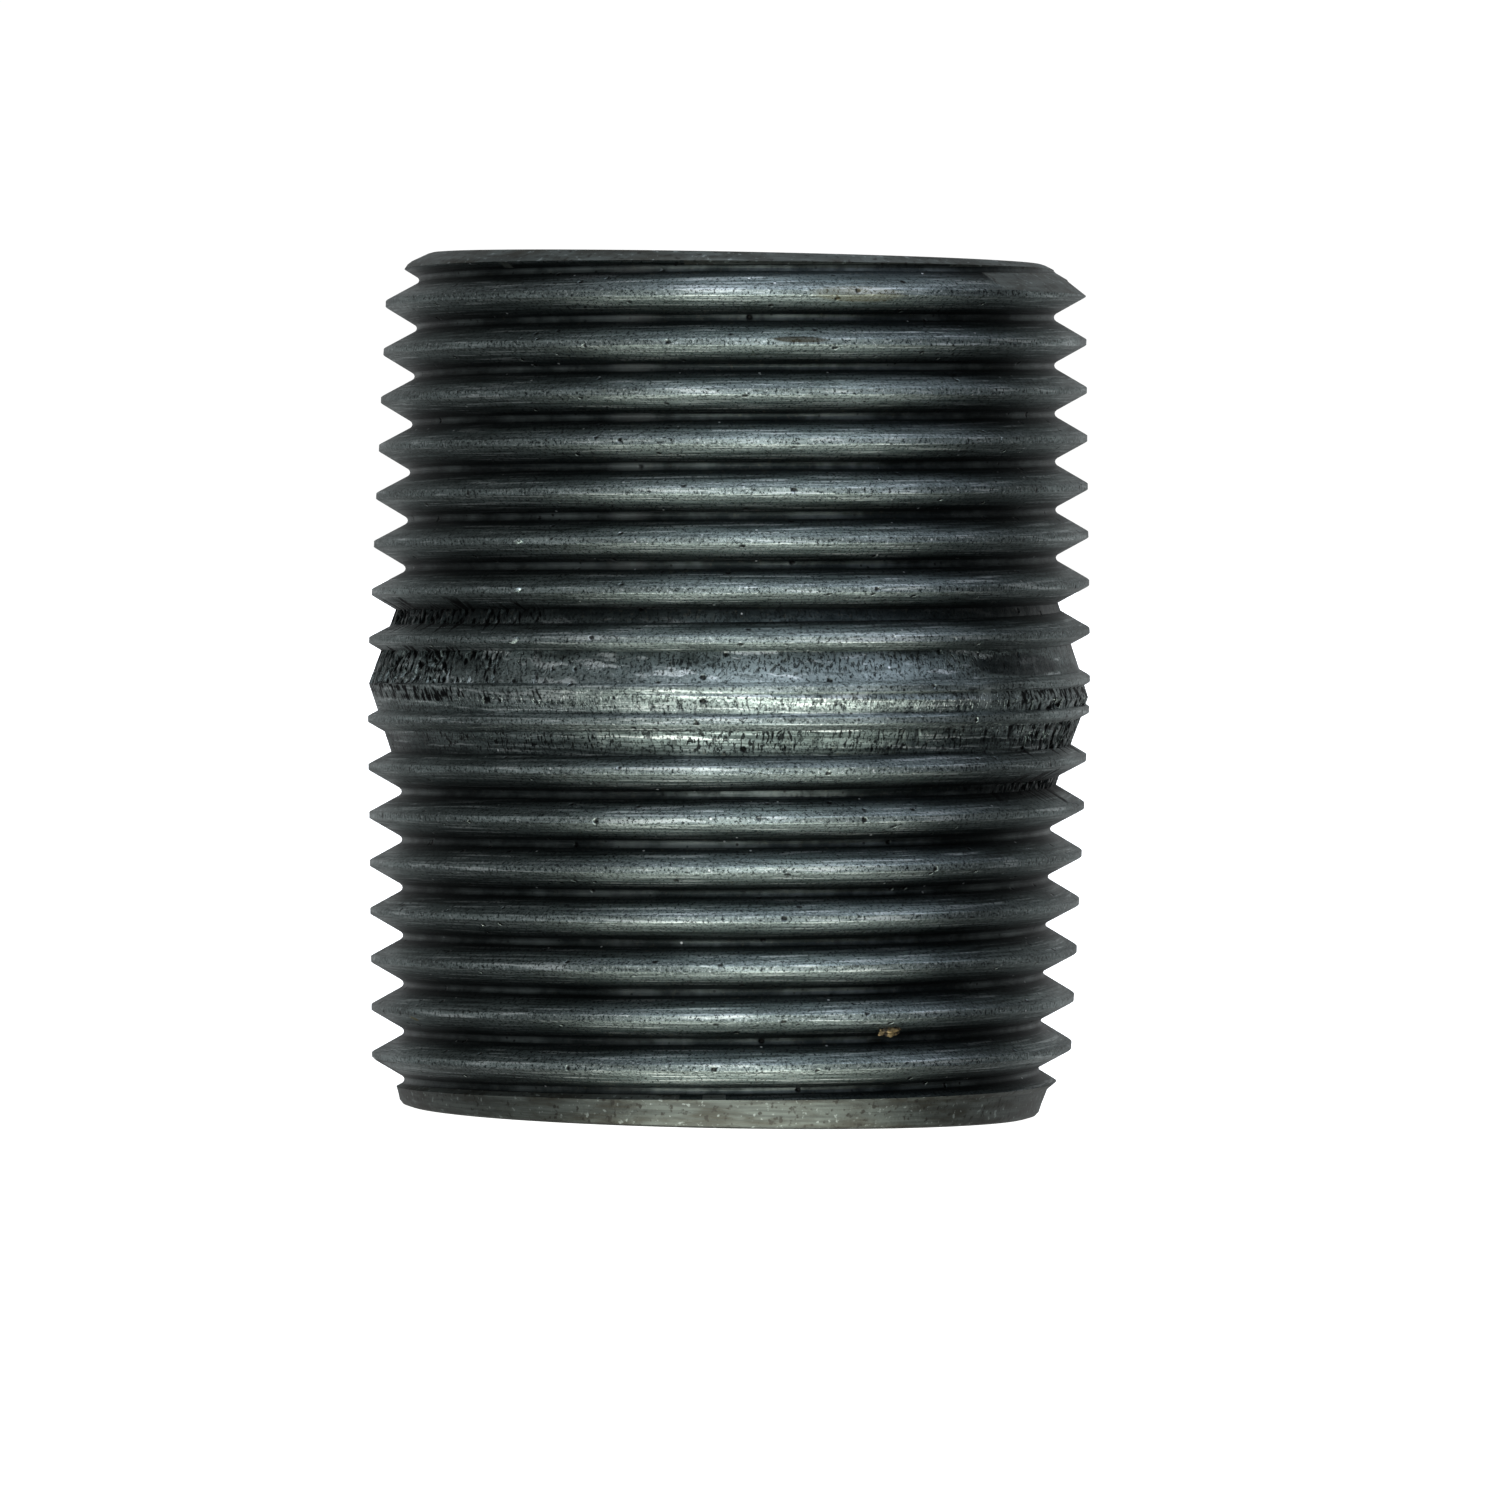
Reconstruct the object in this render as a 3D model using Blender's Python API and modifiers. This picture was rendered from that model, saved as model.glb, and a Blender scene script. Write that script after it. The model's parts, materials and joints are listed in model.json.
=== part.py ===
# Close pipe nipple, nominal size 1 inch: a short length of black steel pipe with a
# right-hand taper thread cut in from each end until the two threads meet.
# Metres, +Z along the pipe, origin at the centre of the lower end face.

from math import pi, radians, tan

import bmesh
import bpy
from mathutils import Matrix

MM = 0.001
INCH = 0.0254

# Pipe
LENGTH = 39.2 * MM  # end face to end face
BORE_RADIUS = 13.32 * MM
REAMED_EDGE = 0.15 * MM  # 45 degree edge left by reaming each end of the bore

# Thread: 11.5 turns to the inch, 60 degree V, 1 in 16 taper on the diameter
PITCH = INCH / 11.5
RADIUS_TAPER = 1 / 32
FLANK_ANGLE = radians(30)  # each flank, from the radial direction
CREST_RADIUS = 16.07 * MM  # over the crests, at an end face
CREST_FLAT = 0.26 * MM
THREAD_DEPTH = 1.5 * MM
TURN_GAP = 0.12 * MM  # between turns of the groove's cutter, outside the crests

# Run-out: the die's throat lifts the groove's floor out of the pipe along a cone
THROAT_LENGTH = 4.75 * MM

# What differs between the ends, each measured from its own face:
# first_groove  distance to the groove's centre line where it crosses the +X side
# run_out       distance to where the groove's floor leaves the pipe
# edge          the trimmed outer edge, (radius, distance) from the flat face outwards
# chamfered     distance to where that edge meets the crests
UPPER_END = {
    "name": "upper",
    "first_groove": 0.2 * MM,
    "run_out": 20.18 * MM,
    "edge": [(14.1 * MM, 0), (15.25 * MM, 0.6 * MM)],
    "chamfered": 1.4 * MM,
}
LOWER_END = {
    "name": "lower",
    "first_groove": 2.24 * MM,
    "run_out": 19.67 * MM,
    "edge": [(14.6 * MM, 0), (14.9 * MM, 0.2 * MM), (15.2 * MM, 1.3 * MM)],
    "chamfered": 2.2 * MM,
}

SEGMENTS = 40  # flats to one turn, the same on the pipe and on its grooves
STEP = 2 * pi / SEGMENTS
SMOOTH_ANGLE = radians(20)
MERGE = 0.000001

# The lower end's frame is the pipe's own. The upper end's is turned over, which keeps
# a right-hand helix right-handed.
LOWER_FRAME = Matrix.Identity(4)
UPPER_FRAME = Matrix.Translation((0, 0, LENGTH)) @ Matrix.Rotation(pi, 4, "X")


def clear_scene():
    for obj in list(bpy.data.objects):
        bpy.data.objects.remove(obj)


def new_collection(name):
    collection = bpy.data.collections.new(name)
    bpy.context.scene.collection.children.link(collection)
    return collection


def closed_profile(name, points, collection):
    """A loop of edges in the XZ plane, from (radius, height) points."""
    mesh = bpy.data.meshes.new(name)
    corners = [(radius, 0, height) for radius, height in points]
    edges = [(i, (i + 1) % len(points)) for i in range(len(points))]
    mesh.from_pydata(corners, edges, [])
    obj = bpy.data.objects.new(name, mesh)
    collection.objects.link(obj)
    return obj


def turn(obj):
    """Turns a closed profile into a ring."""
    screw = obj.modifiers.new("turn", "SCREW")
    screw.steps = SEGMENTS
    screw.render_steps = SEGMENTS
    screw.use_merge_vertices = True
    screw.merge_threshold = MERGE


def wind(obj, turns):
    """Winds a closed profile into a right-hand helix that widens with the pipe's taper."""
    screw = obj.modifiers.new("wind", "SCREW")
    screw.steps = SEGMENTS
    screw.render_steps = SEGMENTS
    screw.iterations = turns
    screw.screw_offset = PITCH
    heights = [vertex.co.z for vertex in obj.data.vertices]
    wound_length = turns * PITCH + max(heights) - min(heights)
    taper = obj.modifiers.new("taper", "SIMPLE_DEFORM")
    taper.deform_method = "TAPER"
    taper.deform_axis = "Z"
    taper.factor = RADIUS_TAPER * wound_length / CREST_RADIUS


def make_solid(obj):
    """Applies the modifiers, closes open ends and points the faces outwards."""
    depsgraph = bpy.context.evaluated_depsgraph_get()
    mesh = bpy.data.meshes.new_from_object(obj.evaluated_get(depsgraph))
    obj.modifiers.clear()
    shape = bmesh.new()
    shape.from_mesh(mesh)
    bmesh.ops.holes_fill(shape, edges=[edge for edge in shape.edges if edge.is_boundary])
    bmesh.ops.recalc_face_normals(shape, faces=shape.faces)
    shape.to_mesh(mesh)
    shape.free()
    obj.data = mesh
    mesh.name = obj.name


def cut(obj, cutter):
    boolean = obj.modifiers.new("cut " + cutter.name, "BOOLEAN")
    boolean.operation = "DIFFERENCE"
    boolean.object = cutter


def as_cutter(obj):
    obj.hide_render = True
    obj.display_type = "WIRE"


def taper_radius(distance):
    """Radius over the crests at a distance from the end face."""
    return CREST_RADIUS + RADIUS_TAPER * distance


def pipe_blank(collection):
    """The pipe before threading: two shallow cones that meet, trimmed ends and a bore."""
    meeting = LENGTH / 2
    upper, lower = UPPER_END["chamfered"], LOWER_END["chamfered"]
    reamed = BORE_RADIUS + REAMED_EDGE
    points = [(reamed, LENGTH)]
    points += [(radius, LENGTH - distance) for radius, distance in UPPER_END["edge"]]
    points += [
        (taper_radius(upper), LENGTH - upper),
        (taper_radius(meeting), meeting),
        (taper_radius(lower), lower),
    ]
    points += reversed(LOWER_END["edge"])
    points += [
        (reamed, 0),
        (BORE_RADIUS, REAMED_EDGE),
        (BORE_RADIUS, LENGTH - REAMED_EDGE),
    ]
    blank = closed_profile("nipple_body", points, collection)
    turn(blank)
    make_solid(blank)
    return blank


def throat_core(end, collection):
    """What the die's throat leaves uncut, in the frame of one end."""
    start = end["run_out"] - THROAT_LENGTH
    start_radius = taper_radius(start) - THREAD_DEPTH
    slope = (taper_radius(LENGTH / 2) - start_radius) / THROAT_LENGTH
    inner, outer = BORE_RADIUS, taper_radius(LENGTH)
    far = LENGTH
    points = [
        (outer, far),
        (outer, start + (outer - start_radius) / slope),
        (inner, start + (inner - start_radius) / slope),
        (inner, far),
    ]
    core = closed_profile(end["name"] + "_throat_core", points, collection)
    turn(core)
    make_solid(core)
    as_cutter(core)
    return core


def thread_cutter(end, collection):
    """The helical V groove of one end, starting outside the pipe, in the end's frame."""
    root_half = (PITCH - CREST_FLAT) / 2 - THREAD_DEPTH * tan(FLANK_ANGLE)
    mouth_half = (PITCH - TURN_GAP) / 2
    root_radius = CREST_RADIUS - THREAD_DEPTH
    mouth_radius = root_radius + (mouth_half - root_half) / tan(FLANK_ANGLE)
    clear_radius = mouth_radius + THREAD_DEPTH
    start = end["first_groove"] - 2 * PITCH + PITCH * (STEP / 2) / (2 * pi)
    points = [
        (root_radius, start + root_half),
        (mouth_radius, start + mouth_half),
        (clear_radius, start + mouth_half),
        (clear_radius, start - mouth_half),
        (mouth_radius, start - mouth_half),
        (root_radius, start - root_half),
    ]
    turns = round((end["run_out"] - start) / PITCH) + 1
    groove = closed_profile(end["name"] + "_thread_cutter", points, collection)
    wind(groove, turns)
    make_solid(groove)
    as_cutter(groove)
    return groove


def cut_thread(body, end, frame, collection):
    groove = thread_cutter(end, collection)
    core = throat_core(end, collection)
    groove.matrix_world = frame @ Matrix.Rotation(STEP / 2, 4, "Z")
    core.matrix_world = frame @ Matrix.Rotation(STEP / 4, 4, "Z")
    cut(groove, core)
    cut(body, groove)


def black_steel():
    """Hot-rolled steel pipe under a thin dark oil film."""
    material = bpy.data.materials.new("black_steel")
    material.use_nodes = True
    shader = material.node_tree.nodes["Principled BSDF"]
    shader.inputs["Base Color"].default_value = (0.045, 0.05, 0.053, 1)
    shader.inputs["Metallic"].default_value = 0.8
    shader.inputs["Roughness"].default_value = 0.4
    return material


def main():
    clear_scene()
    parts = new_collection("pipe_nipple")
    cutters = new_collection("cutters")
    body = pipe_blank(parts)
    cut_thread(body, UPPER_END, UPPER_FRAME, cutters)
    cut_thread(body, LOWER_END, LOWER_FRAME, cutters)
    make_solid(body)
    body.data.materials.clear()
    body.data.materials.append(black_steel())
    body.data.shade_smooth()
    body.data.set_sharp_from_angle(angle=SMOOTH_ANGLE)


main()
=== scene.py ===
import json
import math

import bpy
from mathutils import Matrix, Vector, noise

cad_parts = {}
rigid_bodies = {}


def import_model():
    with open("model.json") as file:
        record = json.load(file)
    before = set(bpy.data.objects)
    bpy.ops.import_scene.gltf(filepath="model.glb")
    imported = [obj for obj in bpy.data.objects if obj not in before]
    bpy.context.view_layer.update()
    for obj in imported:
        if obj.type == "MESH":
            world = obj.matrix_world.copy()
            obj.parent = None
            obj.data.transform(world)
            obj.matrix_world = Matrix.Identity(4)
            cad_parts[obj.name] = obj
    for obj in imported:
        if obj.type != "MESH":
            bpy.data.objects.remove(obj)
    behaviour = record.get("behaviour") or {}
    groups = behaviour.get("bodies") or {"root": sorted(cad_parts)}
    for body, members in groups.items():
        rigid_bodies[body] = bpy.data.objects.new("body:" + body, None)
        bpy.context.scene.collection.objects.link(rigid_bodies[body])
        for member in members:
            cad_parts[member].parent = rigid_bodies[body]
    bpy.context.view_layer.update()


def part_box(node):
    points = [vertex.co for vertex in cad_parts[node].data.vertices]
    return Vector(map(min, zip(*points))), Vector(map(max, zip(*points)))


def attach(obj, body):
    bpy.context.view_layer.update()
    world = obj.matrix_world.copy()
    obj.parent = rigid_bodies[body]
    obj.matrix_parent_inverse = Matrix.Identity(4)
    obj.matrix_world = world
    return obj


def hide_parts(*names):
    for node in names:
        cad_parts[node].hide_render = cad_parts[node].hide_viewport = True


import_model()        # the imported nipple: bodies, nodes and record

mm = 0.001
slack = 0.01 * mm        # how near a point has to be to a place, to be taken as on it
nodeLow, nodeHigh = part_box("nipple_body")
faceToFace = nodeHigh.z - nodeLow.z
midHeight = (nodeLow.z + nodeHigh.z) / 2


def editMode():
    bpy.ops.object.mode_set(mode="EDIT")


def objectMode():
    bpy.ops.object.mode_set(mode="OBJECT")


def deselectAll():
    if bpy.context.mode != "OBJECT":
        objectMode()
    bpy.ops.object.select_all(action="DESELECT")


def makeActive(piece):
    deselectAll()
    piece.select_set(True)
    bpy.context.view_layer.objects.active = piece


def applyModifiers(piece):
    makeActive(piece)
    for modifier in list(piece.modifiers):
        bpy.ops.object.modifier_apply(modifier=modifier.name)


def pickPoints(piece, test):
    # selects the points that pass the test, and nothing else
    makeActive(piece)
    editMode()
    bpy.ops.mesh.select_mode(type="VERT")
    bpy.ops.mesh.select_all(action="DESELECT")
    objectMode()
    for point in piece.data.vertices:
        point.select = test(point.co)
    editMode()


def smoothstep(low, high, value):
    t = min(max((value - low) / (high - low), 0), 1)
    return t * t * (3 - 2 * t)


nipple = {
    "pitch": 25.4 / 11.5 * mm,       # 11.5 turns to the inch
    "taper": 1 / 32,                 # on the radius, 1 in 16 on the diameter
    "crestRadius": 16.06 * mm,       # over the crests at an end face
    "depth": 1.5 * mm,
    "crestFlat": 0.26 * mm,
    "flankAngle": math.radians(30),
    "crestRound": 0.13 * mm,
    "rootRound": 0.12 * mm,
    "turnGap": 0.05 * mm,            # left between turns of a groove's cutter
    "crestWearAndSheen": 0.06 * mm,          # how unevenly the crests are rubbed down
    "bore": 13.32 * mm,
    "reamed": 0.15 * mm,
    "throat": 4.75 * mm,             # the cone along which a groove runs out
    "steps": 180,                    # to one turn of the thread
    "tornSteps": 960,                # to one turn of the torn run-out
    "tornRows": 34,                  # rows of points up the torn run-out
    "crestRows": 46,
    "boreRows": 30,
    "boreUneven": 0.06 * mm,         # hot-rolled, never cut
    "edgeUneven": 0.03 * mm,
    "offCentre": -0.06 * mm,         # of the lower chamfer, along X
}
# edge: the trimmed outer edge, (radius, distance) from the flat face outwards
# chamfered: where it meets the crests; tears: (angle in degrees, how torn) round the run-out
upperEnd = {
    "name": "upper", "firstGroove": 0.2 * mm, "runOut": 20.18 * mm,
    "edge": [(14.0 * mm, 0), (14.2 * mm, 0.06 * mm), (14.95 * mm, 0.42 * mm),
             (15.15 * mm, 0.58 * mm), (15.28 * mm, 0.78 * mm)],
    "chamfered": 1.4 * mm, "tearDepth": 0.24 * mm,
    "tears": [(0, 0.35), (60, 0.5), (120, 0.3), (165, 0.8), (182, 1), (212, 0.95), (228, 0.55),
              (246, 0.2), (290, 0.08), (330, 0.02), (352, 0.1), (360, 0.35)],
}
lowerEnd = {
    "name": "lower", "firstGroove": 2.24 * mm, "runOut": 19.67 * mm,
    "edge": [(14.35 * mm, 0), (14.6 * mm, 0.08 * mm), (14.74 * mm, 0.24 * mm),
             (14.84 * mm, 0.6 * mm), (15.08 * mm, 1.3 * mm)],
    "chamfered": 2.2 * mm, "tearDepth": 0.16 * mm,
    "tears": [(0, 0.8), (40, 0.4), (90, 0.55), (140, 0.35), (180, 0.14), (230, 0.16),
              (300, 0.2), (322, 0.4), (334, 1), (352, 1), (360, 0.8)],
}
lowerFrame = Matrix.Translation((0, 0, nodeLow.z))
upperFrame = Matrix.Translation((0, 0, nodeHigh.z)) @ Matrix.Rotation(math.pi, 4, "X")


def crestAt(distance):
    # radius over the crests at a distance from an end face
    return nipple["crestRadius"] + nipple["taper"] * distance


def drawOutline(name, corners):
    # a closed half section, drawn corner after corner from (radius, height) places
    deselectAll()
    bpy.ops.mesh.primitive_plane_add(size=mm)
    piece = bpy.context.object
    piece.name = name
    editMode()
    bpy.ops.mesh.merge(type="CENTER")
    bpy.ops.transform.translate(value=(corners[0][0], 0, corners[0][1]))
    for (radius, height), (nextRadius, nextHeight) in zip(corners, corners[1:]):
        step = (nextRadius - radius, 0, nextHeight - height)
        bpy.ops.mesh.extrude_region_move(TRANSFORM_OT_translate={"value": step})
    ends = [Vector((radius, 0, height)) for radius, height in (corners[0], corners[-1])]
    pickPoints(piece, lambda place: any((place - end).length < 0.1 * slack for end in ends))
    bpy.ops.mesh.edge_face_add()
    objectMode()
    return piece


def roundCorners(piece, test, size, segments):
    pickPoints(piece, test)
    bpy.ops.mesh.bevel(offset=size, segments=segments, affect="VERTICES")
    objectMode()


def cutEdge(piece, test, cuts):
    # more points along one straight stretch of an outline
    pickPoints(piece, test)
    bpy.ops.mesh.subdivide(number_cuts=cuts)
    objectMode()


def faceOutwards(piece):
    makeActive(piece)
    editMode()
    bpy.ops.mesh.select_all(action="SELECT")
    bpy.ops.mesh.normals_make_consistent(inside=False)
    objectMode()


def turnSolid(piece, steps):
    screw = piece.modifiers.new("turn", "SCREW")
    screw.steps = screw.render_steps = steps
    screw.use_merge_vertices = True
    screw.merge_threshold = 0.0001 * mm
    applyModifiers(piece)
    faceOutwards(piece)


def windSolid(piece, turns, steps):
    # a right-hand helix that widens with the pipe's taper, closed at its two ends
    heights = [point.co.z for point in piece.data.vertices]
    screw = piece.modifiers.new("wind", "SCREW")
    screw.steps = screw.render_steps = steps
    screw.iterations = turns
    screw.screw_offset = nipple["pitch"]
    taper = piece.modifiers.new("taper", "SIMPLE_DEFORM")
    taper.deform_method = "TAPER"
    taper.deform_axis = "Z"
    span = turns * nipple["pitch"] + max(heights) - min(heights)
    taper.factor = nipple["taper"] * span / nipple["crestRadius"]
    applyModifiers(piece)
    makeActive(piece)
    editMode()
    bpy.ops.mesh.select_all(action="DESELECT")
    bpy.ops.mesh.select_non_manifold()
    bpy.ops.mesh.edge_face_add()
    objectMode()
    faceOutwards(piece)


def combine(piece, other, operation):
    boolean = piece.modifiers.new("join", "BOOLEAN")
    boolean.operation = operation
    boolean.solver = "MANIFOLD"
    boolean.object = other
    applyModifiers(piece)
    bpy.data.objects.remove(other)


def patchy(place, width, height):
    # smooth variation round the pipe, about -1 to 1, in patches of this width and height
    return noise.noise(Vector((place.x / width, place.y / width, place.z / height)))


def tearAt(end, place):
    # how deep a tear in the run-out is at a place: upright slits, gathered in bunches
    angle = math.degrees(math.atan2(place.y, place.x)) % 360
    for (start, low), (stop, high) in zip(end["tears"], end["tears"][1:]):
        if start <= angle <= stop:
            amount = low + (high - low) * (angle - start) / (stop - start)
    gathered = 0.5 + 0.75 * patchy(place, 1.6 * mm, 2.2 * mm)
    bunch = smoothstep(0.45 - amount, 1.0 - amount * 0.75, gathered)
    slit = 1 - min(abs(patchy(place, 0.42 * mm, 1.1 * mm)) / 0.11, 1)
    fine = 1 - min(abs(patchy(place + Vector((3, 5, 1)) * mm, 0.27 * mm, 0.6 * mm)) / 0.13, 1)
    return amount * bunch * max(slit, 0.6 * fine) * end["tearDepth"]


def makeBlank():
    # the pipe before threading, its outside dense enough to be a little uneven
    upper, lower = upperEnd["chamfered"], lowerEnd["chamfered"]
    reamed = nipple["bore"] + nipple["reamed"]
    corners = [(reamed, faceToFace)]
    corners += [(radius, faceToFace - distance) for radius, distance in upperEnd["edge"]]
    corners += [(crestAt(upper), faceToFace - upper), (crestAt(faceToFace / 2), faceToFace / 2),
                (crestAt(lower), lower)]
    corners += reversed(lowerEnd["edge"])
    corners += [(reamed, 0), (nipple["bore"], nipple["reamed"]),
                (nipple["bore"], faceToFace - nipple["reamed"])]
    blank = drawOutline("nipple", corners)
    cutEdge(blank, lambda place: place.x > crestAt(0), nipple["crestRows"])
    cutEdge(blank, lambda place: place.x < nipple["bore"] + slack, nipple["boreRows"])
    turnSolid(blank, nipple["steps"])
    for point in blank.data.vertices:
        place = point.co
        radius = math.hypot(place.x, place.y)
        if radius > crestAt(0):
            wear = 0.5 + 0.5 * patchy(place, 2.5 * mm, 0.8 * mm)
            wear = wear + 0.25 * patchy(place, 0.8 * mm, 0.5 * mm)
            radius -= nipple["crestWearAndSheen"] * min(max(wear, 0), 1)
        elif radius < nipple["bore"] + slack:
            radius += nipple["boreUneven"] * patchy(place, 5 * mm, 9 * mm)
        else:
            radius += nipple["edgeUneven"] * patchy(place, 3 * mm, 3 * mm)
        fromAxis = math.hypot(place.x, place.y)
        place.x, place.y = place.x * radius / fromAxis, place.y * radius / fromAxis
        if place.z < lower - 0.1 * mm and radius > reamed + 0.2 * mm:
            place.x += nipple["offCentre"] * (1 - place.z / lower)
    blank.location.z = nodeLow.z
    return blank


def makeThroatCore(end, placing):
    # what the die's throat leaves uncut, in the end's own frame, its floor torn
    start = end["runOut"] - nipple["throat"]
    startRadius = crestAt(start) - nipple["depth"]
    slope = (crestAt(faceToFace / 2) - startRadius) / nipple["throat"]
    inner, outer = startRadius - 0.5 * mm, crestAt(faceToFace / 2) + 0.3 * mm
    high = start + (outer - startRadius) / slope
    far = end["runOut"] + 4 * mm
    core = drawOutline(end["name"] + "Core", [
        (outer, far), (outer, high), (inner, start + (inner - startRadius) / slope), (inner, far)])
    cutEdge(core, lambda place: place.z < high + slack, nipple["tornRows"])
    turnSolid(core, nipple["tornSteps"])
    for point in core.data.vertices:
        place = point.co
        if place.z < high - slack and place.z < end["runOut"] + 0.2 * mm:
            onPipe = placing @ place
            radius = math.hypot(place.x, place.y)
            rough = 0.02 * mm * patchy(onPipe, 0.5 * mm, 1 * mm)
            share = 1 - (tearAt(end, onPipe) + rough) / radius
            place.x, place.y = place.x * share, place.y * share
    return core


def makeGroove(end):
    # the helical V of one end, starting outside the pipe, in the end's own frame
    pitch, depth = nipple["pitch"], nipple["depth"]
    rootHalf = (pitch - nipple["crestFlat"]) / 2 - depth * math.tan(nipple["flankAngle"])
    crestHalf = (pitch - nipple["crestFlat"]) / 2
    flareHalf = (pitch - nipple["turnGap"]) / 2
    crest = nipple["crestRadius"]
    flare = crest + 0.02 * mm
    start = end["firstGroove"] - 2 * pitch + pitch / nipple["steps"] / 2
    groove = drawOutline(end["name"] + "Groove", [
        (crest - depth, start + rootHalf),
        (crest, start + crestHalf),
        (flare, start + flareHalf),
        (crest + 2 * depth, start + flareHalf),
        (crest + 2 * depth, start - flareHalf),
        (flare, start - flareHalf),
        (crest, start - crestHalf),
        (crest - depth, start - rootHalf),
    ])
    roundCorners(groove, lambda place: place.x < crest - depth + slack, nipple["rootRound"], 2)
    roundCorners(groove, lambda place: abs(place.x - crest) < 0.1 * slack,
                 nipple["crestRound"], 3)
    turns = round((end["runOut"] - start) / pitch) + 1
    windSolid(groove, turns, nipple["steps"])
    return groove


def cutThread(body, end, endFrame):
    halfStep = math.pi / nipple["steps"]
    corePlacing = endFrame @ Matrix.Rotation(halfStep / 2, 4, "Z")
    groove = makeGroove(end)
    core = makeThroatCore(end, corePlacing)
    groove.matrix_world = endFrame @ Matrix.Rotation(halfStep, 4, "Z")
    core.matrix_world = corePlacing
    bpy.context.view_layer.update()
    combine(groove, core, "DIFFERENCE")
    combine(body, groove, "DIFFERENCE")


burrs = {
    "angle": math.radians(234.5),    # one under the other, where a nick crossed the crests
    "heights": [26.07 * mm, 23.86 * mm, 21.65 * mm],
    "sink": 0.06 * mm,
    "size": [0.2 * mm, 0.3 * mm, 0.15 * mm],
}


def addBurrs(body):
    for height in burrs["heights"]:
        deselectAll()
        bpy.ops.mesh.primitive_ico_sphere_add(subdivisions=2, radius=1)
        burr = bpy.context.object
        burr.scale = burrs["size"]
        for point in burr.data.vertices:
            point.co *= 1 + 0.3 * noise.noise(point.co * 1.7 + Vector((height / mm, 0, 0)))
        radius = crestAt(faceToFace - height) - burrs["sink"]
        burr.location = (radius * math.cos(burrs["angle"]), radius * math.sin(burrs["angle"]),
                         nodeLow.z + height)
        burr.rotation_euler = (0.25, 0, burrs["angle"])
        bpy.context.view_layer.update()
        combine(body, burr, "UNION")


def markTears(body):
    # remembers on the mesh where the run-outs are torn, for the darker material there
    torn = body.data.attributes.new("torn", "FLOAT", "POINT")
    values = []
    for point in body.data.vertices:
        place = point.co
        value = 0
        for end, distance in ((upperEnd, nodeHigh.z - place.z), (lowerEnd, place.z - nodeLow.z)):
            start = end["runOut"] - nipple["throat"]
            if start - 0.4 * mm < distance < end["runOut"] + 0.2 * mm:
                startRadius = crestAt(start) - nipple["depth"]
                slope = (crestAt(faceToFace / 2) - startRadius) / nipple["throat"]
                above = math.hypot(place.x, place.y) - startRadius - slope * (distance - start)
                if above < 0.06 * mm:
                    value = max(value, tearAt(end, place) / end["tearDepth"])
        values.append(value)
    torn.data.foreach_set("value", values)


def dropFlakes(body):
    # keeps what hangs together with the upper end face, without the cuts' few flat, loose flakes
    pickPoints(body, lambda place: place.z > nodeHigh.z - slack)
    bpy.ops.mesh.select_linked()
    bpy.ops.mesh.select_all(action="INVERT")
    bpy.ops.mesh.delete(type="VERT")
    objectMode()


def makeNipple():
    body = makeBlank()
    cutThread(body, upperEnd, upperFrame)
    cutThread(body, lowerEnd, lowerFrame)
    addBurrs(body)
    makeActive(body)
    bpy.ops.object.transform_apply(location=True, rotation=True, scale=True)
    dropFlakes(body)
    bpy.ops.object.shade_smooth_by_angle(angle=math.radians(28))
    markTears(body)
    return body


print("nipple: cutting the threads")
nippleBody = makeNipple()


def linear(hexColour):
    # an sRGB hex colour as the linear values that a socket takes
    values = [int(hexColour[i:i + 2], 16) / 255 for i in (0, 2, 4)]
    return tuple(v / 12.92 if v <= 0.04045 else ((v + 0.055) / 1.055) ** 2.4 for v in values) + (1,)


def addNode(tree, kind, settings=None, links=None):
    # settings: attributes, or socket names and numbers with their values; links: socket to output
    node = tree.nodes.new(kind)
    for key, value in (settings or {}).items():
        if isinstance(key, str) and hasattr(node, key):
            setattr(node, key, value)
        else:
            node.inputs[key].default_value = value
    for key, output in (links or {}).items():
        tree.links.new(output, node.inputs[key])
    return node


def newMaterial(name):
    material = bpy.data.materials.new(name)
    material.use_nodes = True
    material.node_tree.nodes.clear()
    return material, material.node_tree


def sums(tree, operation, first, second):
    # one sum of outputs and plain numbers
    node = addNode(tree, "ShaderNodeMath", {"operation": operation})
    for slot, term in enumerate((first, second)):
        if isinstance(term, (int, float)):
            node.inputs[slot].default_value = term
        else:
            tree.links.new(term, node.inputs[slot])
    return node.outputs[0]


def ranged(tree, value, low, high, toLow, toHigh):
    return addNode(tree, "ShaderNodeMapRange", {
        "interpolation_type": "SMOOTHSTEP", "From Min": low, "From Max": high,
        "To Min": toLow, "To Max": toHigh}, {"Value": value}).outputs[0]


def blend(tree, amount, first, second):
    # a mix of two colours, each an output or a hex colour
    node = addNode(tree, "ShaderNodeMix", {"data_type": "RGBA"}, {0: amount})
    for slot, colour in ((6, first), (7, second)):
        if isinstance(colour, str):
            node.inputs[slot].default_value = linear(colour)
        else:
            tree.links.new(colour, node.inputs[slot])
    return node.outputs[2]


def streaks(tree, axes, across, width, length, detail):
    # lines round the pipe, uneven across themselves
    stretched = addNode(tree, "ShaderNodeCombineXYZ", {}, {
        0: sums(tree, "MULTIPLY", axes.outputs[0], 1 / length),
        1: sums(tree, "MULTIPLY", axes.outputs[1], 1 / length),
        2: sums(tree, "MULTIPLY", across, 1 / width)})
    return addNode(tree, "ShaderNodeTexNoise", {"Scale": 1.0, "Detail": detail, "Roughness": 0.6},
                   {"Vector": stretched.outputs[0]}).outputs["Fac"]


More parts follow.
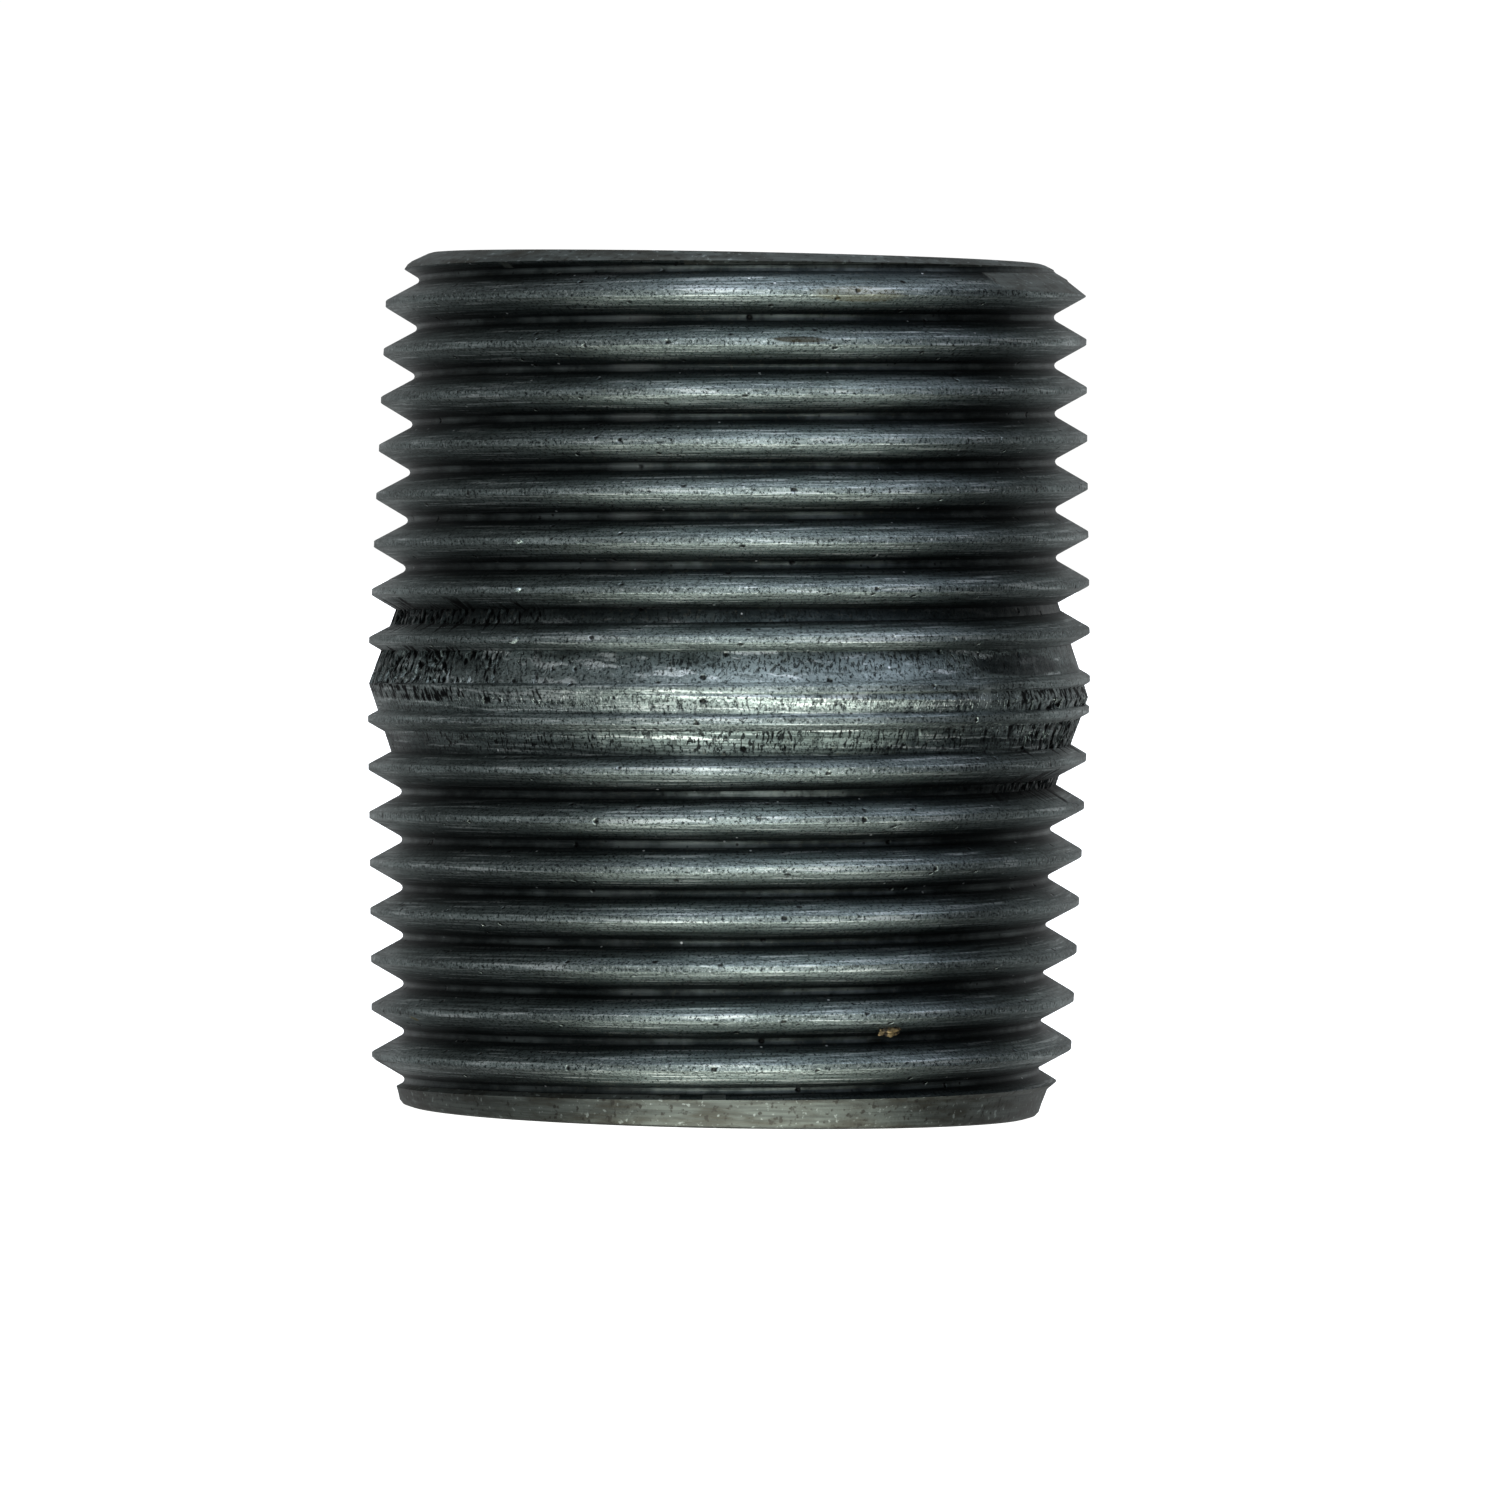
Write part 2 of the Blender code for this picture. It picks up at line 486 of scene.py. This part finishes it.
def spots(tree, place, kind):
    # 1 in scattered round spots, fading to 0 outside them
    spacing, full, faded, share = kind
    cells = addNode(tree, "ShaderNodeTexVoronoi", {"Scale": 1 / spacing, "Randomness": 1.0},
                    {"Vector": place})
    near = ranged(tree, cells.outputs["Distance"], full, faded, 1.0, 0.0)
    chance = addNode(tree, "ShaderNodeSeparateColor", {}, {0: cells.outputs["Color"]}).outputs[0]
    return sums(tree, "MULTIPLY", near, sums(tree, "GREATER_THAN", chance, 1 - share))


def noiseOf(tree, place, size, detail, roughness=0.5):
    # even noise with blobs of this size
    node = addNode(tree, "ShaderNodeTexNoise", {
        "Scale": 1 / size, "Detail": detail, "Roughness": roughness}, {"Vector": place})
    return node.outputs["Fac"]


def markAt(tree, place, angle, radius, height, wide, tall):
    # 1 inside a soft-edged oval on the pipe, 0 outside it
    angle = math.radians(angle)
    centre = (radius * math.cos(angle), radius * math.sin(angle), nodeLow.z + height)
    away = addNode(tree, "ShaderNodeVectorMath", {"operation": "SUBTRACT", 1: centre}, {0: place})
    scaled = addNode(tree, "ShaderNodeVectorMath", {"operation": "DIVIDE", 1: (wide, wide, tall)},
                     {0: away.outputs[0]})
    far = addNode(tree, "ShaderNodeVectorMath", {"operation": "LENGTH"}, {0: scaled.outputs[0]})
    return ranged(tree, far.outputs["Value"], 0.7, 1.0, 1.0, 0.0)


cutSteel = {
    "streakWidth": 0.11 * mm,        # real tool lines are finer; drawn coarser to be seen
    "streakLength": 4.2 * mm,
    # spots: spacing, full and faded distance in spacings, share of the cells that have one
    "pits": (0.95 * mm, 0.07, 0.18, 0.5),
    "specks": (0.6 * mm, 0.05, 0.13, 0.14),
    "pinholes": (0.33 * mm, 0.12, 0.28, 0.42),
    "patch": 3.5 * mm,
    "grain": 0.25 * mm,
    "speckle": 0.13 * mm,            # torn grain of the cut surface
    "roughness": (0.38, 0.5),
    "brushed": 0.75,                 # the cutting lines spread a highlight across themselves
    # single marks: degrees round, radius, height, half width, half height, strength, colour
    "marks": [(326, 16.2 * mm, 20.9 * mm, 4.2 * mm, 0.6 * mm, 0.8, "1d2325"),
              (314.5, 16.4 * mm, 19.5 * mm, 0.5 * mm, 0.6 * mm, 0.6, "b4bdbd"),
              (243.3, 15.9 * mm, 4.75 * mm, 0.15 * mm, 0.18 * mm, 1.0, "f2f4f2"),
              (208.4, 15.9 * mm, 4.27 * mm, 0.3 * mm, 0.2 * mm, 0.8, "8a7c3e"),
              (280.4, 15.9 * mm, 35.3 * mm, 1.5 * mm, 0.16 * mm, 0.8, "2e2a1e"),
              (290, 15.6 * mm, 37.4 * mm, 2.6 * mm, 0.4 * mm, 0.35, "6a6244")],
    # fine upright cracks: (height at the front, half height of the band, how many)
    "cracks": [(19.05 * mm, 0.4 * mm, 0.55), (17.4 * mm, 0.75 * mm, 1.0),
               (20.85 * mm, 0.6 * mm, 0.8), (22.9 * mm, 0.35 * mm, 0.4)],
    "crackWidth": 0.12 * mm,
    "crackLength": 0.6 * mm,
    # relief too fine to model, all of it bump
    "lineHeight": 0.012 * mm,
    "grainHeight": 0.01 * mm,
    "speckleDepth": 0.006 * mm,
    "pitDepth": 0.05 * mm,
    "crackDepth": 0.04 * mm,
}


def cutSteelMaterial():
    # carbon steel cut by a die and left oily: grey-blue, streaked along the cut, soft highlights
    material, tree = newMaterial("dieCutOiledSteel")
    place = addNode(tree, "ShaderNodeTexCoord").outputs["Object"]
    axes = addNode(tree, "ShaderNodeSeparateXYZ", {}, {0: place})
    flat = addNode(tree, "ShaderNodeCombineXYZ", {}, {0: axes.outputs[0], 1: axes.outputs[1]})
    length = addNode(tree, "ShaderNodeVectorMath", {"operation": "LENGTH"}, {0: flat.outputs[0]})
    radius = length.outputs["Value"]
    height = axes.outputs[2]
    fromMid = sums(tree, "ABSOLUTE", sums(tree, "SUBTRACT", height, midHeight), 0)
    evenRadius = sums(tree, "ADD", radius, sums(tree, "MULTIPLY", fromMid, nipple["taper"]))
    across = sums(tree, "ADD", evenRadius, sums(tree, "MULTIPLY", height, 0.5))
    fineLines = streaks(tree, axes, across, cutSteel["streakWidth"], cutSteel["streakLength"], 3.0)
    wideLines = streaks(tree, axes, across, 4 * cutSteel["streakWidth"],
                        2 * cutSteel["streakLength"], 2.0)
    patches = noiseOf(tree, place, cutSteel["patch"], 4.0, 0.65)
    grain = noiseOf(tree, place, cutSteel["grain"], 4.0, 0.7)
    speckle = noiseOf(tree, place, cutSteel["speckle"], 2.0, 0.8)
    pits = spots(tree, place, cutSteel["pits"])
    specks = spots(tree, place, cutSteel["specks"])
    pinholes = spots(tree, place, cutSteel["pinholes"])
    torn = addNode(tree, "ShaderNodeAttribute", {"attribute_name": "torn"}).outputs["Fac"]
    outward = sums(tree, "SUBTRACT", evenRadius, crestAt(faceToFace / 2))
    # painted shade, darkest down in the thread roots
    paintedRootShade = ranged(tree, outward, -1.4 * mm, -0.45 * mm, 1.0, 0.0)
    # lighter towards the crests: partly rubbed wear, partly painted light
    crestWearAndSheen = ranged(tree, outward, -0.7 * mm, -0.1 * mm, 0.0, 1.0)

    # clean steel, then the tool's lines over it: dark and broad, dark and fine, bright and fine
    colour = blend(tree, ranged(tree, patches, 0.35, 0.65, 0.0, 1.0), "74807f", "8b9796")
    colour = blend(tree, ranged(tree, wideLines, 0.42, 0.6, 0.0, 0.6), colour, "535e5e")
    colour = blend(tree, ranged(tree, fineLines, 0.48, 0.6, 0.0, 0.75), colour, "39413f")
    colour = blend(tree, ranged(tree, fineLines, 0.35, 0.43, 0.75, 0.0), colour, "dbe2e2")
    # painted shade in the roots, a brownish tinge in places, and the crests lighter: partly rubbed,
    # partly painted light
    colour = blend(tree, sums(tree, "MULTIPLY", paintedRootShade, 0.92), colour, "1b2021")
    colour = blend(tree, sums(tree, "MULTIPLY", ranged(tree, grain, 0.56, 0.7, 0.0, 1.0), 0.35),
                   colour, "5a564a")
    colour = blend(tree, sums(tree, "MULTIPLY", crestWearAndSheen, 0.3), colour, "9aa5a4")
    # torn grain: dark all over, with painted glints on the crests
    colour = blend(tree, ranged(tree, speckle, 0.51, 0.64, 0.0, 0.9), colour, "1c2223")
    # painted glints, only towards the crests
    paintedCrestGlints = sums(tree, "MULTIPLY", ranged(tree, speckle, 0.3, 0.42, 0.5, 0.0), crestWearAndSheen)
    colour = blend(tree, paintedCrestGlints, colour, "dfe6e7")
    # a thin painted highlight along the root, then pits, pinholes and bright specks
    # painted highlight along the root rounding, patchy
    paintedRootHighlight = sums(tree, "MULTIPLY", ranged(tree, outward, -1.46 * mm, -1.4 * mm, 0.3, 0.0),
                    ranged(tree, patches, 0.4, 0.7, 0.1, 1.0))
    colour = blend(tree, paintedRootHighlight, colour, "aab5b4")
    colour = blend(tree, sums(tree, "MULTIPLY", pits, 0.9), colour, "141312")
    pricked = sums(tree, "MULTIPLY", pinholes, ranged(tree, patches, 0.42, 0.62, 0.1, 0.9))
    colour = blend(tree, pricked, colour, "191918")
    colour = blend(tree, sums(tree, "MULTIPLY", specks, 0.8), colour, "e6eaeb")
    # upright cracks, in bands that climb with the thread
    upright = addNode(tree, "ShaderNodeVectorMath", {"operation": "DIVIDE", 1: (
        cutSteel["crackWidth"], cutSteel["crackWidth"], cutSteel["crackLength"])}, {0: place})
    cracks = noiseOf(tree, upright.outputs[0], 1.0, 1.5)
    azimuth = sums(tree, "ARCTAN2", axes.outputs[0], sums(tree, "MULTIPLY", axes.outputs[1], -1.0))
    climb = sums(tree, "MULTIPLY", azimuth, nipple["pitch"] / (2 * math.pi))
    alongHelix = sums(tree, "SUBTRACT", height, climb)
    cracked = 0.0
    for up, half, amount in cutSteel["cracks"]:
        away = sums(tree, "ABSOLUTE", sums(tree, "SUBTRACT", alongHelix, nodeLow.z + up), 0)
        cracked = sums(tree, "MAXIMUM", cracked, ranged(tree, away, 0.5 * half, half, amount, 0.0))
    cracked = sums(tree, "MULTIPLY", cracked, ranged(tree, cracks, 0.56, 0.62, 0.0, 1.0))
    cracked = sums(tree, "MULTIPLY", cracked, ranged(tree, patches, 0.36, 0.52, 0.25, 1.0))
    # a faint glint in the roots, a little left of the front, most of it in the upper thread
    turned = sums(tree, "ABSOLUTE", sums(tree, "ADD", azimuth, 0.31), 0)
    inRoot = ranged(tree, outward, -1.44 * mm, -1.34 * mm, 1.0, 0.0)
    inUpper = ranged(tree, height, nodeLow.z + 23 * mm, nodeLow.z + 25 * mm, 0.25, 1.0)
    glint = ranged(tree, turned, 0.01, 0.1, 0.1, 0.0)
    glint = sums(tree, "MULTIPLY", sums(tree, "MULTIPLY", glint, inRoot), inUpper)
    colour = blend(tree, glint, colour, "eef4f2")
    for angle, outTo, up, wide, tall, strength, tint in cutSteel["marks"]:
        spot = markAt(tree, place, angle, outTo, up, wide, tall)
        colour = blend(tree, sums(tree, "MULTIPLY", spot, strength), colour, tint)
    colour = blend(tree, sums(tree, "MULTIPLY", cracked, 0.9), colour, "0e1011")
    # painted shade in the torn run-outs, nearly black where they are torn
    colour = blend(tree, ranged(tree, torn, 0.0, 0.3, 0.0, 0.96), colour, "0a0b0c")

    roughness = ranged(tree, wideLines, 0.35, 0.65, *cutSteel["roughness"])
    roughness = sums(tree, "ADD", roughness, ranged(tree, torn, 0.0, 0.25, 0.0, 0.3))
    relief = sums(tree, "MULTIPLY", fineLines, cutSteel["lineHeight"])
    relief = sums(tree, "ADD", relief, sums(tree, "MULTIPLY", grain, cutSteel["grainHeight"]))
    for hollow, depth in ((speckle, "speckleDepth"), (pits, "pitDepth"), (cracked, "crackDepth")):
        sunk = sums(tree, "MULTIPLY", hollow, cutSteel[depth])
        relief = sums(tree, "SUBTRACT", relief, sunk)
    bump = addNode(tree, "ShaderNodeBump", {"Strength": 1.0, "Distance": 1.0}, {"Height": relief})
    around = addNode(tree, "ShaderNodeTangent", {"direction_type": "RADIAL", "axis": "Z"})
    shader = addNode(tree, "ShaderNodeBsdfPrincipled", {
        "Metallic": 1.0, "Anisotropic": cutSteel["brushed"], "Anisotropic Rotation": 0.25},
        {"Base Color": colour, "Roughness": roughness, "Normal": bump.outputs[0],
         "Tangent": around.outputs[0]})
    addNode(tree, "ShaderNodeOutputMaterial", {}, {"Surface": shader.outputs["BSDF"]})
    return material


trimmedSteel = {
    "stainWidth": 0.5 * mm, "stainLength": 2.2 * mm,
    "lineWidth": 0.12 * mm, "lineLength": 4 * mm,
    "grain": 0.3 * mm,
    "relief": 0.015 * mm,
}


def trimmedSteelMaterial():
    # the sawn and trimmed ends: dull grey under dried oil, with a warm, slightly rusty stain
    material, tree = newMaterial("trimmedSteel")
    place = addNode(tree, "ShaderNodeTexCoord").outputs["Object"]
    axes = addNode(tree, "ShaderNodeSeparateXYZ", {}, {0: place})
    height = axes.outputs[2]
    sizes = trimmedSteel
    stain = streaks(tree, axes, height, sizes["stainWidth"], sizes["stainLength"], 4.0)
    lines = streaks(tree, axes, height, sizes["lineWidth"], sizes["lineLength"], 2.0)
    grain = noiseOf(tree, place, sizes["grain"], 3.0)
    colour = blend(tree, ranged(tree, stain, 0.38, 0.66, 0.0, 1.0), "585e5a", "383831")
    colour = blend(tree, ranged(tree, lines, 0.45, 0.62, 0.0, 0.6), colour, "3c403d")
    colour = blend(tree, ranged(tree, grain, 0.58, 0.68, 0.0, 0.85), colour, "24221d")
    colour = blend(tree, ranged(tree, grain, 0.3, 0.38, 0.6, 0.0), colour, "8f9794")
    relief = sums(tree, "MULTIPLY", grain, sizes["relief"])
    bump = addNode(tree, "ShaderNodeBump", {"Strength": 1.0, "Distance": 1.0}, {"Height": relief})
    around = addNode(tree, "ShaderNodeTangent", {"direction_type": "RADIAL", "axis": "Z"})
    shader = addNode(tree, "ShaderNodeBsdfPrincipled", {
        "Metallic": 0.55, "Roughness": 0.48, "Anisotropic": 0.5, "Anisotropic Rotation": 0.25},
        {"Base Color": colour, "Normal": bump.outputs[0], "Tangent": around.outputs[0]})
    addNode(tree, "ShaderNodeOutputMaterial", {}, {"Surface": shader.outputs["BSDF"]})
    return material


def millScaleMaterial():
    # the bore keeps its hot-rolled oxide skin: nearly black, matt, a little mottled
    material, tree = newMaterial("millScale")
    place = addNode(tree, "ShaderNodeTexCoord").outputs["Object"]
    mottle = noiseOf(tree, place, 2 * mm, 6.0, 0.7)
    colour = blend(tree, ranged(tree, mottle, 0.35, 0.7, 0.0, 1.0), "1b1e21", "2f2d2b")
    relief = sums(tree, "MULTIPLY", mottle, 0.08 * mm)
    bump = addNode(tree, "ShaderNodeBump", {"Strength": 1.0, "Distance": 1.0}, {"Height": relief})
    shader = addNode(tree, "ShaderNodeBsdfPrincipled", {"Metallic": 0.35, "Roughness": 0.55},
                     {"Base Color": colour, "Normal": bump.outputs[0]})
    addNode(tree, "ShaderNodeOutputMaterial", {}, {"Surface": shader.outputs["BSDF"]})
    return material


grooveMargin = 0.22 * mm        # a face this far inside the trimmed edge belongs to a groove


def onTrimmedEnd(face, radius):
    # on a flat end face or the edge trimmed round it, and not in a groove
    upper = face.center.z > midHeight
    end = upperEnd if upper else lowerEnd
    fromEnd = nodeHigh.z - face.center.z if upper else face.center.z - nodeLow.z
    if fromEnd < 0.05 * mm and abs(face.normal.z) > 0.7:
        return True
    edge = end["edge"] + [(crestAt(end["chamfered"]), end["chamfered"])]
    for (inner, near), (outer, far) in zip(edge, edge[1:]):
        if near <= fromEnd <= far:
            onEdge = inner + (outer - inner) * (fromEnd - near) / (far - near)
            return radius > onEdge - grooveMargin
    return False


def giveMaterials(body):
    body.data.materials.clear()
    for material in (cutSteelMaterial(), trimmedSteelMaterial(), millScaleMaterial()):
        body.data.materials.append(material)
    for face in body.data.polygons:
        radius = math.hypot(face.center.x, face.center.y)
        fromEnd = min(face.center.z - nodeLow.z, nodeHigh.z - face.center.z)
        if radius < nipple["bore"] + 0.12 * mm and fromEnd > 0.3 * mm:
            face.material_index = 2
        elif onTrimmedEnd(face, radius):
            face.material_index = 1


print("materials")
giveMaterials(nippleBody)
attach(nippleBody, "root")
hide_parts("nipple_body")


swarf = {
    "angle": math.radians(299.5),
    "height": 4.5 * mm,
    "radius": 15.35 * mm,
    "size": [0.14 * mm, 0.55 * mm, 0.27 * mm],
}


def makeSwarf():
    # a chip of cut metal left in the lower thread, held by the oil
    deselectAll()
    bpy.ops.mesh.primitive_ico_sphere_add(subdivisions=4, radius=1)
    chip = bpy.context.object
    chip.name = "threadSwarf"
    for point in chip.data.vertices:
        lump = noise.noise(point.co * 1.6 + Vector((4, 2, 7)))
        point.co *= 1 + 0.55 * lump + 0.2 * noise.noise(point.co * 4)
    chip.scale = swarf["size"]
    chip.location = (swarf["radius"] * math.cos(swarf["angle"]),
                     swarf["radius"] * math.sin(swarf["angle"]), nodeLow.z + swarf["height"])
    chip.rotation_euler = (0.2, 0, swarf["angle"])
    makeActive(chip)
    bpy.ops.object.transform_apply(location=True, rotation=True, scale=True)
    bpy.ops.object.shade_smooth_by_angle(angle=math.radians(35))
    material, tree = newMaterial("rustedSwarf")
    place = addNode(tree, "ShaderNodeTexCoord").outputs["Object"]
    stain = noiseOf(tree, place, 0.3 * mm, 4.0)
    colour = blend(tree, ranged(tree, stain, 0.4, 0.6, 0.0, 1.0), "332a1c", "8a7650")
    shader = addNode(tree, "ShaderNodeBsdfPrincipled", {"Metallic": 0.4, "Roughness": 0.4},
                     {"Base Color": colour})
    addNode(tree, "ShaderNodeOutputMaterial", {}, {"Surface": shader.outputs["BSDF"]})
    chip.data.materials.append(material)
    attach(chip, "root")


print("swarf")
makeSwarf()


def makeFloor():
    # lit white all over, and never mirrored in the steel
    deselectAll()
    bpy.ops.mesh.primitive_plane_add(size=6, location=(0, 0, nodeLow.z - 0.02 * mm))
    floor = bpy.context.object
    floor.name = "studioFloor"
    material, tree = newMaterial("whiteFloor")
    shader = addNode(tree, "ShaderNodeBsdfPrincipled", {
        "Base Color": linear("ffffff"), "Roughness": 0.9,
        "Emission Color": linear("ffffff"), "Emission Strength": 1.1})
    addNode(tree, "ShaderNodeOutputMaterial", {}, {"Surface": shader.outputs["BSDF"]})
    floor.data.materials.append(material)
    floor.visible_glossy = False
    floor.visible_diffuse = False


studio = {
    # (degrees round from the front, + towards +X; level) of the light that reaches the steel
    "round": [(-180, 0.1), (-150, 0.18), (-125, 0.17), (-106, 0.13), (-80, 0.19), (-58, 0.25),
              (-38, 0.24), (-20, 0.38), (-3, 0.68), (12, 0.55), (27, 0.12), (56, 0.09), (80, 0.07),
              (96, 0.06), (112, 0.13), (145, 0.22), (180, 0.1)],
    "strength": 2.1,
    "level": (0.3, 0.9),      # upward share of a direction, from where the light round falls off
    # softboxes: degrees round, degrees up, degrees from their middle where they fade out and
    # where they are full, level, colour; cool above, warm off the table
    "boxes": [(36, 60, 50, 16, 1.45, (0.9, 0.98, 1.18)), (14, -60, 48, 20, 5.6, (1.02, 1.03, 0.92)),
              (25, 78, 48, 15, 1.1, (0.96, 1, 1.04)), (0, -90, 80, 40, 0.15, (1, 1, 0.97))],
}


def makeWorld():
    world = bpy.data.worlds.new("studio")
    bpy.context.scene.world = world
    world.use_nodes = True
    tree = world.node_tree
    tree.nodes.clear()
    place = addNode(tree, "ShaderNodeTexCoord")
    axes = addNode(tree, "ShaderNodeSeparateXYZ", {}, {0: place.outputs["Generated"]})
    towardFront = sums(tree, "MULTIPLY", axes.outputs["Y"], -1.0)
    azimuth = sums(tree, "ARCTAN2", axes.outputs["X"], towardFront)
    part = addNode(tree, "ShaderNodeMapRange", {"From Min": -math.pi, "From Max": math.pi},
                   {"Value": azimuth})
    ramp = addNode(tree, "ShaderNodeValToRGB", {}, {0: part.outputs[0]})
    colours = ramp.color_ramp
    colours.interpolation = "EASE"
    while len(colours.elements) < len(studio["round"]):
        colours.elements.new(0.5)
    for element, (degrees, level) in zip(colours.elements, studio["round"]):
        element.position = (degrees + 180) / 360
        element.color = (level * 0.97, level, level * 1.01, 1)
    upward = axes.outputs["Z"]
    level = sums(tree, "ABSOLUTE", upward, 0)
    fall = ranged(tree, level, *studio["level"], studio["strength"], 0.0)
    lit = addNode(tree, "ShaderNodeBackground", {}, {
        "Color": ramp.outputs["Color"], "Strength": fall})
    for across, up, outer, inner, level, tint in studio["boxes"]:
        across, up = math.radians(across), math.radians(up)
        axis = (math.sin(across) * math.cos(up), -math.cos(across) * math.cos(up), math.sin(up))
        toward = addNode(tree, "ShaderNodeVectorMath", {"operation": "DOT_PRODUCT", 1: axis},
                         {0: place.outputs["Generated"]}).outputs["Value"]
        edge = math.cos(math.radians(outer)), math.cos(math.radians(inner))
        box = addNode(tree, "ShaderNodeBackground", {"Color": tint + (1,)}, {
            "Strength": ranged(tree, toward, *edge, 0.0, level)})
        lit = addNode(tree, "ShaderNodeAddShader", {}, {0: lit.outputs[0], 1: box.outputs[0]})
    plain = addNode(tree, "ShaderNodeBackground", {"Color": (1, 1, 1, 1), "Strength": 1.05})
    rays = addNode(tree, "ShaderNodeLightPath")
    both = addNode(tree, "ShaderNodeMixShader", {}, {
        0: rays.outputs["Is Camera Ray"], 1: lit.outputs[0], 2: plain.outputs[0]})
    addNode(tree, "ShaderNodeOutputWorld", {}, {"Surface": both.outputs[0]})


view = {
    # a little above the middle of the nipple, looking slightly down
    "lens": 249.4,
    "across": 1.04 * mm,
    "away": 478.6 * mm,
    "above": 28 * mm,
    "pitchDown": 0.0238,
    "roll": 0.0195,
}


def makeCamera():
    data = bpy.data.cameras.new("camera")
    data.lens = view["lens"]
    data.sensor_width = 36
    camera = bpy.data.objects.new("camera", data)
    bpy.context.scene.collection.objects.link(camera)
    place = Vector((view["across"], -view["away"], nodeLow.z + view["above"]))
    pitch = Matrix.Rotation(math.pi / 2 - view["pitchDown"], 4, "X")
    turn = pitch @ Matrix.Rotation(view["roll"], 4, "Z")
    camera.matrix_world = Matrix.Translation(place) @ turn
    data.clip_start = 0.01
    bpy.context.scene.camera = camera


print("floor, light and camera")
makeFloor()
makeWorld()
makeCamera()
bpy.context.scene.view_settings.view_transform = "Standard"

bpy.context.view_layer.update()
nippleBody.data.calc_loop_triangles()
print("done:", len(nippleBody.data.loop_triangles), "triangles in the nipple")
